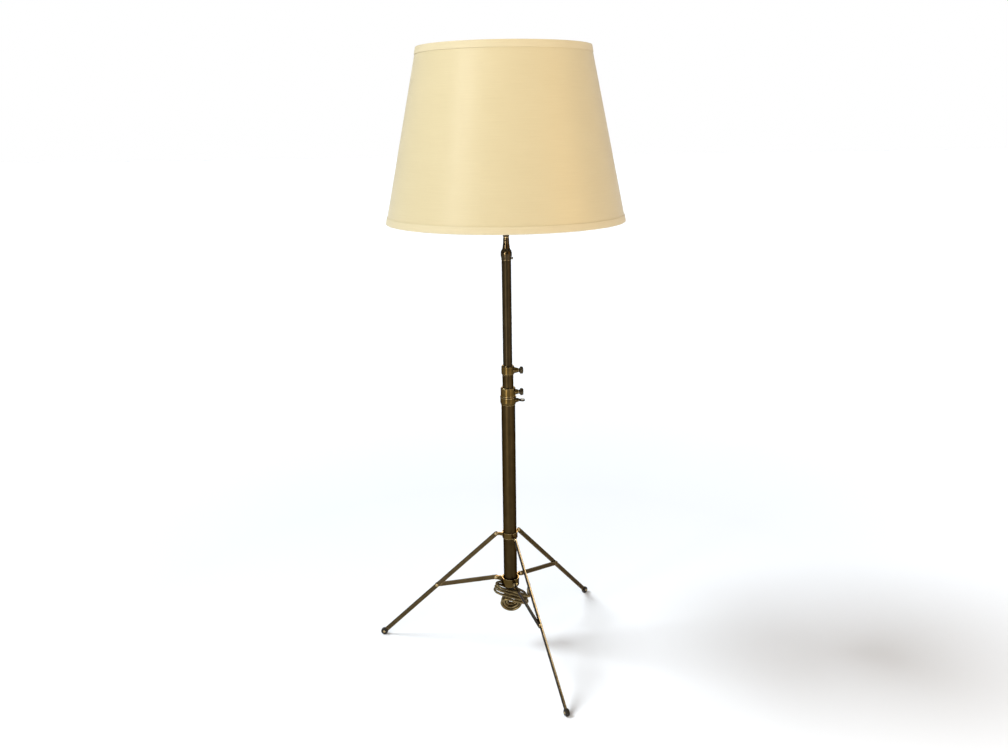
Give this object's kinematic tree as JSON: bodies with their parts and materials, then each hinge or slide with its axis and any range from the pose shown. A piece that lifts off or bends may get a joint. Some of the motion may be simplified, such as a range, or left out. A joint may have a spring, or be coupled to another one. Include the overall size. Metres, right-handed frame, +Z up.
{
  "type": "telescoping floor lamp",
  "caption": "Floor lamp with a round tapered fabric shade on a telescoping bronze tube, standing on a folding leg frame with braces, its cord wound up under the hub.",
  "frame": {"origin": "on the floor, on the axis of the telescoping post", "axes": "+Z up along the post, +X towards the clamp screws, -Y towards the front, where the switch key points"},
  "size_m": [0.5167, 0.5012, 1.2256],
  "materials": {
    "bronze": "dark antique bronze lacquer, satin",
    "leg_bronze": "dark antique bronze lacquer, satin, worn at the edges",
    "aged_brass": "aged brass, satin",
    "bright_brass": "brass, bright",
    "plated_steel": "brass plated steel, dull",
    "rivet": "plated steel, dull",
    "foot_rubber": "brown rubber, matt",
    "guide_plastic": "natural nylon",
    "black_plastic": "moulded, matt",
    "paper_liner": "brown pressed fibre",
    "cord_plastic": "clear gold lamp cord, glossy",
    "plug_plastic": "clear gold moulding, glossy",
    "lamp_glass": "frosted glass",
    "lamp_cap": "bright aluminium",
    "shade_fabric": "woven cloth on a backing, matt",
    "shade_tape": "folded fabric tape, matt"
  },
  "bodies": {
    "base": {"lower_tube": "bronze", "lower_hub": "aged_brass", "lower_hub_rivets": "rivet", "tube_plug": "plated_steel", "cord_bush": "black_plastic", "lower_collar": "aged_brass", "lower_clamp": "aged_brass", "cord_lead": "cord_plastic", "cord_hank": "cord_plastic", "cord_wraps": "cord_plastic", "plug_body": "plug_plastic", "plug_blades": "bright_brass"},
    "upper_hub": {"upper_hub": "aged_brass"},
    "leg_1": {"leg_1": "leg_bronze", "leg_rivets_1": "rivet", "foot_1": "foot_rubber"},
    "brace_1": {"brace_1": "leg_bronze"},
    "leg_2": {"leg_2": "leg_bronze", "leg_rivets_2": "rivet", "foot_2": "foot_rubber"},
    "brace_2": {"brace_2": "leg_bronze"},
    "leg_3": {"leg_3": "leg_bronze", "leg_rivets_3": "rivet", "foot_3": "foot_rubber"},
    "brace_3": {"brace_3": "leg_bronze"},
    "mid": {"mid_tube": "bronze", "mid_guide": "guide_plastic", "upper_clamp": "aged_brass"},
    "upper": {"upper_tube": "bronze", "upper_guide": "guide_plastic", "neck": "aged_brass", "lock_nut": "plated_steel", "nipple": "plated_steel", "check_ring": "aged_brass", "harp_saddle": "plated_steel", "harp": "plated_steel", "harp_stud": "aged_brass", "holder_cap": "bright_brass", "holder_shell": "bright_brass", "holder_liner": "paper_liner", "holder_body": "black_plastic", "screw_shell": "bright_brass", "lamp_base": "lamp_cap", "lamp_glass": "lamp_glass", "shade_spider": "plated_steel", "shade_fabric": "shade_fabric", "shade_top_tape": "shade_tape", "shade_bottom_tape": "shade_tape", "shade_bottom_ring": "plated_steel"},
    "lower_clamp_screw": {"lower_clamp_screw": "aged_brass"},
    "lower_lock_screw": {"lower_lock_screw": "aged_brass"},
    "upper_clamp_screw": {"upper_clamp_screw": "aged_brass"},
    "neck_set_screw": {"neck_set_screw": "aged_brass"},
    "switch_key": {"switch_key": "bright_brass"},
    "finial": {"finial": "aged_brass"},
    "harp_ferrule_left": {"harp_ferrule_left": "bright_brass"},
    "harp_ferrule_right": {"harp_ferrule_right": "bright_brass"}
  },
  "joints": [
    {"name": "hub_slide", "type": "slide", "parent": "base", "child": "upper_hub", "axis": [0, 0, 1], "range_m": [0, 0.21385]},
    {"name": "leg_1_fold", "type": "hinge", "parent": "upper_hub", "child": "leg_1", "pos_m": [-0.02944, 0.00461, 0.25507], "axis": [-0.1547, -0.988, 0], "range_deg": [0, 40.95]},
    {"name": "brace_1_fold", "type": "hinge", "parent": "base", "child": "brace_1", "pos_m": [-0.03082, 0.00483, 0.15328], "axis": [0.1547, 0.988, 0], "range_deg": [0, 95.61]},
    {"name": "leg_2_fold", "type": "hinge", "parent": "upper_hub", "child": "leg_2", "pos_m": [0.01073, -0.0278, 0.25507], "axis": [0.933, 0.36, 0], "range_deg": [0, 40.95]},
    {"name": "brace_2_fold", "type": "hinge", "parent": "base", "child": "brace_2", "pos_m": [0.01123, -0.02911, 0.15328], "axis": [-0.933, -0.36, 0], "range_deg": [0, 95.61]},
    {"name": "leg_3_fold", "type": "hinge", "parent": "upper_hub", "child": "leg_3", "pos_m": [0.01871, 0.02319, 0.25507], "axis": [-0.7782, 0.628, 0], "range_deg": [0, 40.95]},
    {"name": "brace_3_fold", "type": "hinge", "parent": "base", "child": "brace_3", "pos_m": [0.01959, 0.02428, 0.15328], "axis": [0.7782, -0.628, 0], "range_deg": [0, 95.61]},
    {"name": "mid_slide", "type": "slide", "parent": "base", "child": "mid", "axis": [0, 0, 1], "range_m": [-0.026, 0.28]},
    {"name": "upper_slide", "type": "slide", "parent": "mid", "child": "upper", "axis": [0, 0, 1], "range_m": [-0.205, 0.14]},
    {"name": "lower_clamp_screw_turn", "type": "hinge", "parent": "base", "child": "lower_clamp_screw", "pos_m": [0.021, 0, 0.56688], "axis": [1, 0, 0], "range_deg": [0, 540]},
    {"name": "lower_lock_screw_turn", "type": "hinge", "parent": "base", "child": "lower_lock_screw", "pos_m": [0.021, 0, 0.54948], "axis": [1, 0, 0], "range_deg": [0, 540]},
    {"name": "upper_clamp_screw_turn", "type": "hinge", "parent": "mid", "child": "upper_clamp_screw", "pos_m": [0.021, 0, 0.61188], "axis": [1, 0, 0], "range_deg": [0, 540]},
    {"name": "neck_set_screw_turn", "type": "hinge", "parent": "upper", "child": "neck_set_screw", "pos_m": [0.0132, 0, 0.83678], "axis": [1, 0, 0], "range_deg": [0, 720]},
    {"name": "switch_key_turn", "type": "hinge", "parent": "upper", "child": "switch_key", "pos_m": [0, -0.024, 0.91628], "axis": [0, -1, 0], "continuous": true},
    {"name": "finial_turn", "type": "hinge", "parent": "upper", "child": "finial", "pos_m": [0, 0, 1.19298], "axis": [0, 0, 1], "range_deg": [0, 1440]},
    {"name": "harp_ferrule_left_lift", "type": "slide", "parent": "upper", "child": "harp_ferrule_left", "axis": [0, 0, 1], "range_m": [0, 0.012]},
    {"name": "harp_ferrule_right_lift", "type": "slide", "parent": "upper", "child": "harp_ferrule_right", "axis": [0, 0, 1], "range_m": [0, 0.012]}
  ],
  "couplings": [
    {"joint": "leg_1_fold", "follows": "hub_slide", "rad_per_m": 3.3405},
    {"joint": "brace_1_fold", "follows": "hub_slide", "rad_per_m": 7.8017},
    {"joint": "leg_2_fold", "follows": "hub_slide", "rad_per_m": 3.3405},
    {"joint": "brace_2_fold", "follows": "hub_slide", "rad_per_m": 7.8017},
    {"joint": "leg_3_fold", "follows": "hub_slide", "rad_per_m": 3.3405},
    {"joint": "brace_3_fold", "follows": "hub_slide", "rad_per_m": 7.8017}
  ]
}
